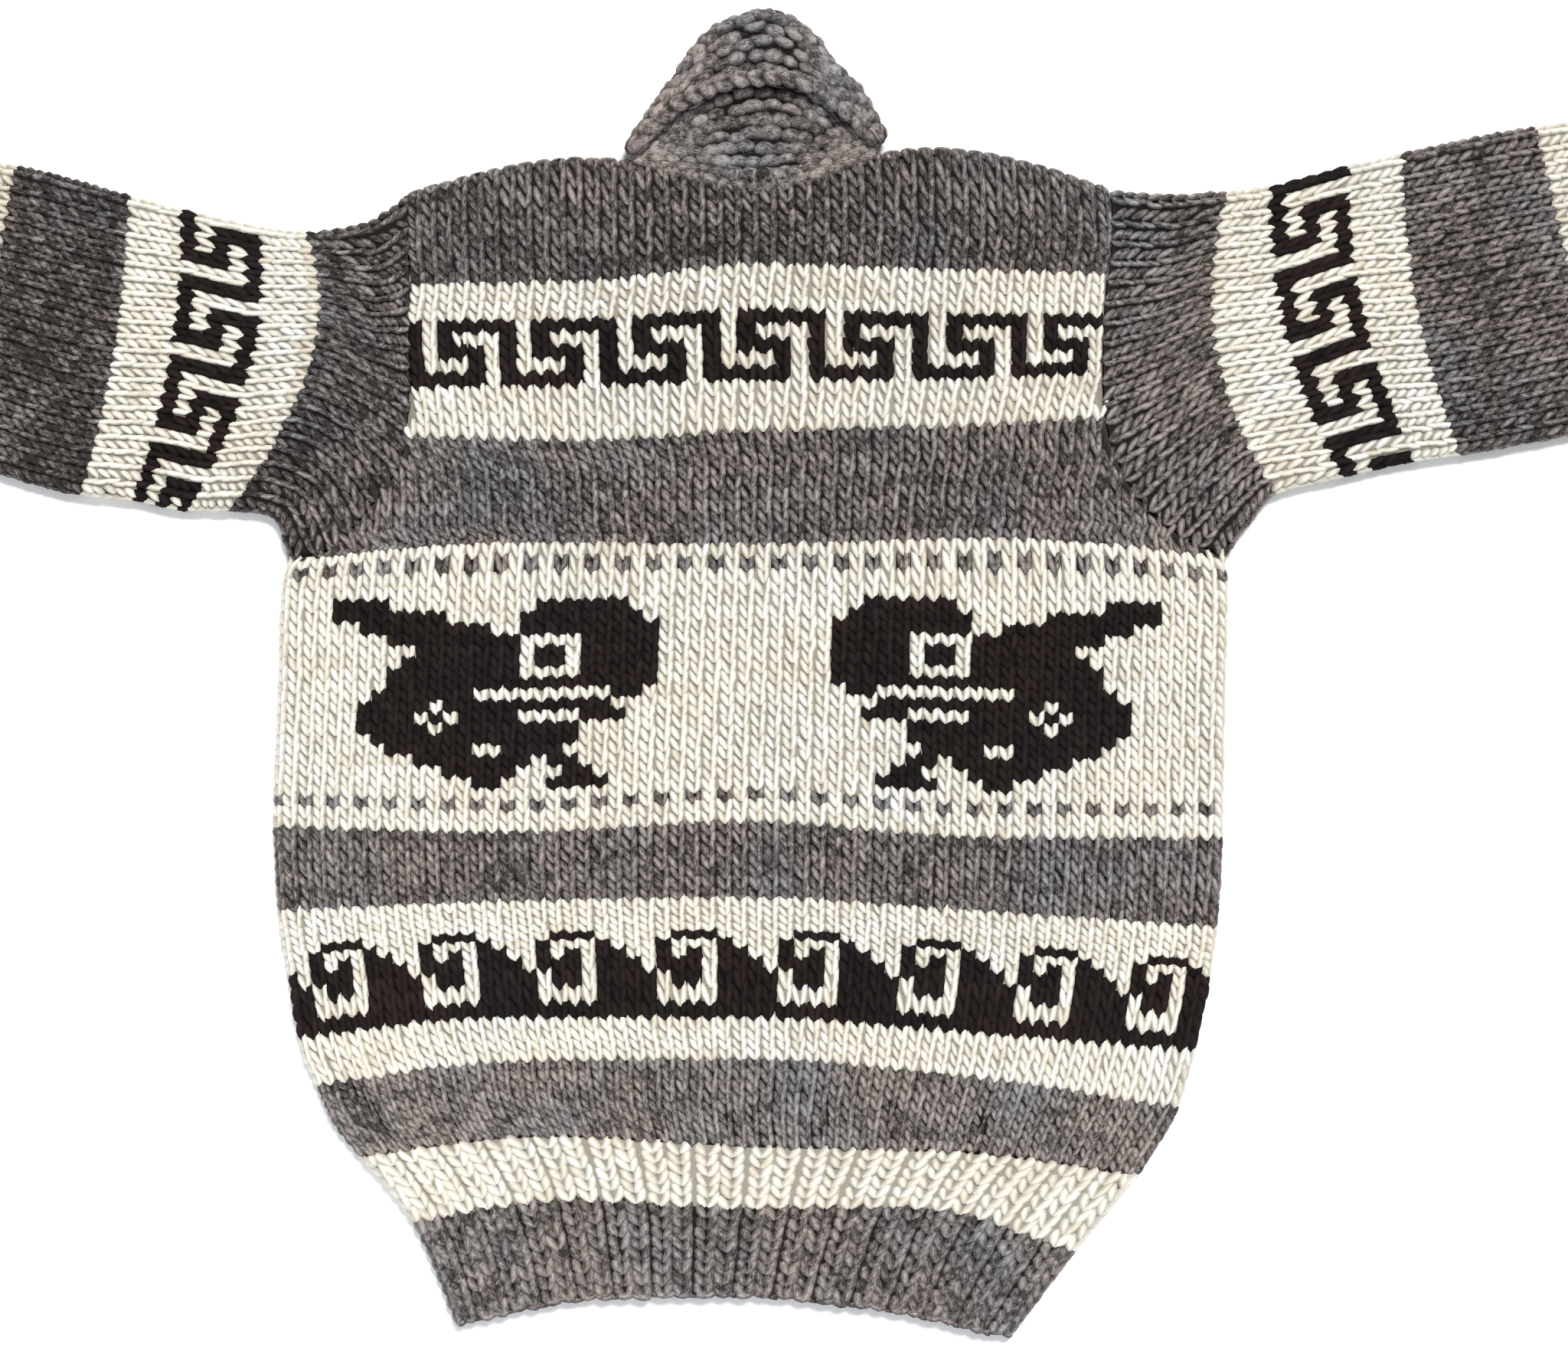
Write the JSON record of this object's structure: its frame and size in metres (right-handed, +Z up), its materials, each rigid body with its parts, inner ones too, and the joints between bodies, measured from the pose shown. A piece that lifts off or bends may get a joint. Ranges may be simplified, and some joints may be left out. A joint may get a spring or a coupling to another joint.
{
  "type": "hand-knitted cardigan laid flat",
  "caption": "Thick hand-knitted wool cardigan laid flat, back upward, with spread sleeves, ribbed hem and cuffs, a turned-down garter collar and banded motifs of birds, waves and key pattern.",
  "frame": {"origin": "middle of the garment's outline, on the surface it lies on", "axes": "+X to the wearer's right sleeve, +Y from the hem to the collar, +Z up out of the back"},
  "size_m": [1.358, 0.7291, 0.0169],
  "materials": {
    "wool_banded": "bulky two-ply wool in stocking stitch, cream with heathered grey bands and dark brown motifs, matte with a soft nap",
    "wool_rib": "bulky wool in rib, a cream band above a heathered grey band, matte",
    "wool_grey": "bulky heathered grey wool in garter stitch, matte"
  },
  "bodies": {
    "root": {"back": "wool_banded", "back_rib": "wool_rib", "front_left": "wool_banded", "front_right": "wool_banded", "front_rib_left": "wool_rib", "front_rib_right": "wool_rib", "sleeve_left": "wool_banded", "sleeve_right": "wool_banded", "cuff_left": "wool_rib", "cuff_right": "wool_rib", "collar_back": "wool_grey", "lapel_left": "wool_grey", "lapel_right": "wool_grey"}
  },
  "joints": []
}
